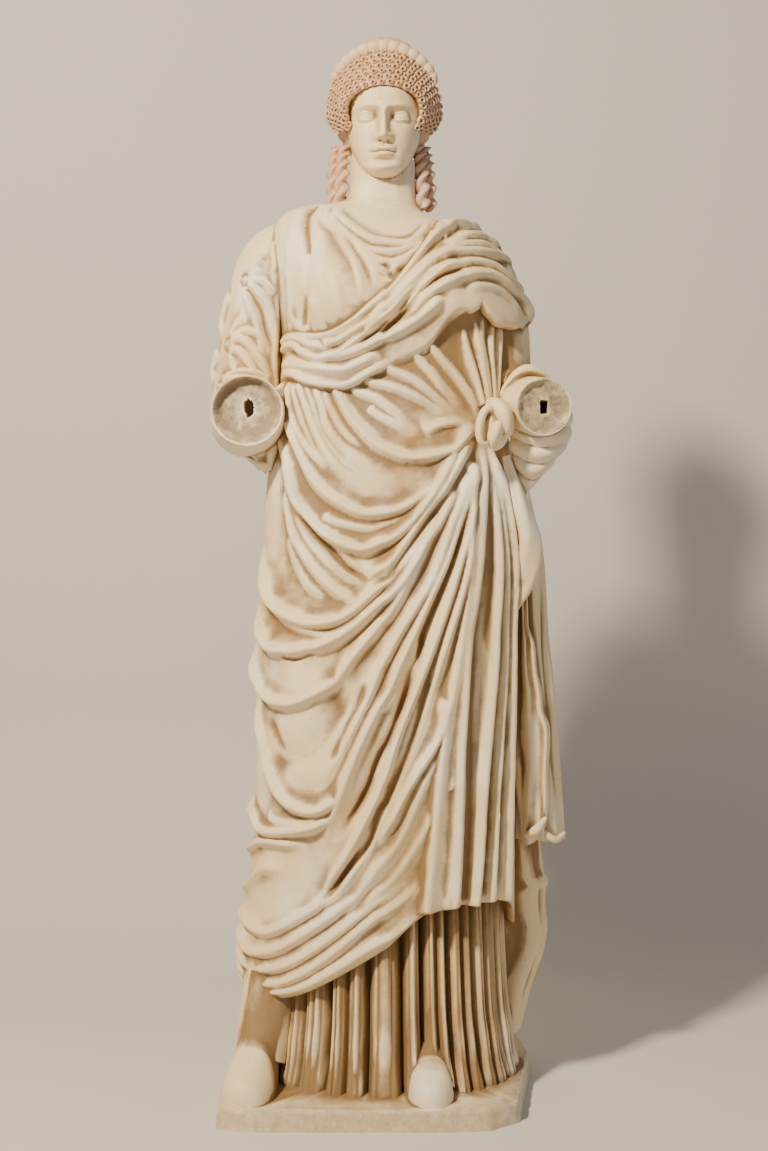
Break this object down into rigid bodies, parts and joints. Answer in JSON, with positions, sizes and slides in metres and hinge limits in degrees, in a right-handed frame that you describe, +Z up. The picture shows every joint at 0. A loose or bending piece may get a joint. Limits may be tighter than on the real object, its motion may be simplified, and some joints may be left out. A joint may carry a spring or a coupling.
{
  "type": "draped statue",
  "caption": "Standing marble figure of a draped woman, head on, both forearms lost, carved in one block with its low irregular slab.",
  "frame": {"origin": "on the underside of the figure's own slab, under the middle of the body", "axes": "+Z up, the figure faces -Y, +X towards her left side, the viewer's right"},
  "size_m": [0.6795, 0.542, 1.994],
  "materials": {
    "marble": "weathered warm ivory marble, ochre stain in the folds, smoother on the face"
  },
  "bodies": {
    "root": {"draped_woman": "marble"}
  },
  "joints": []
}
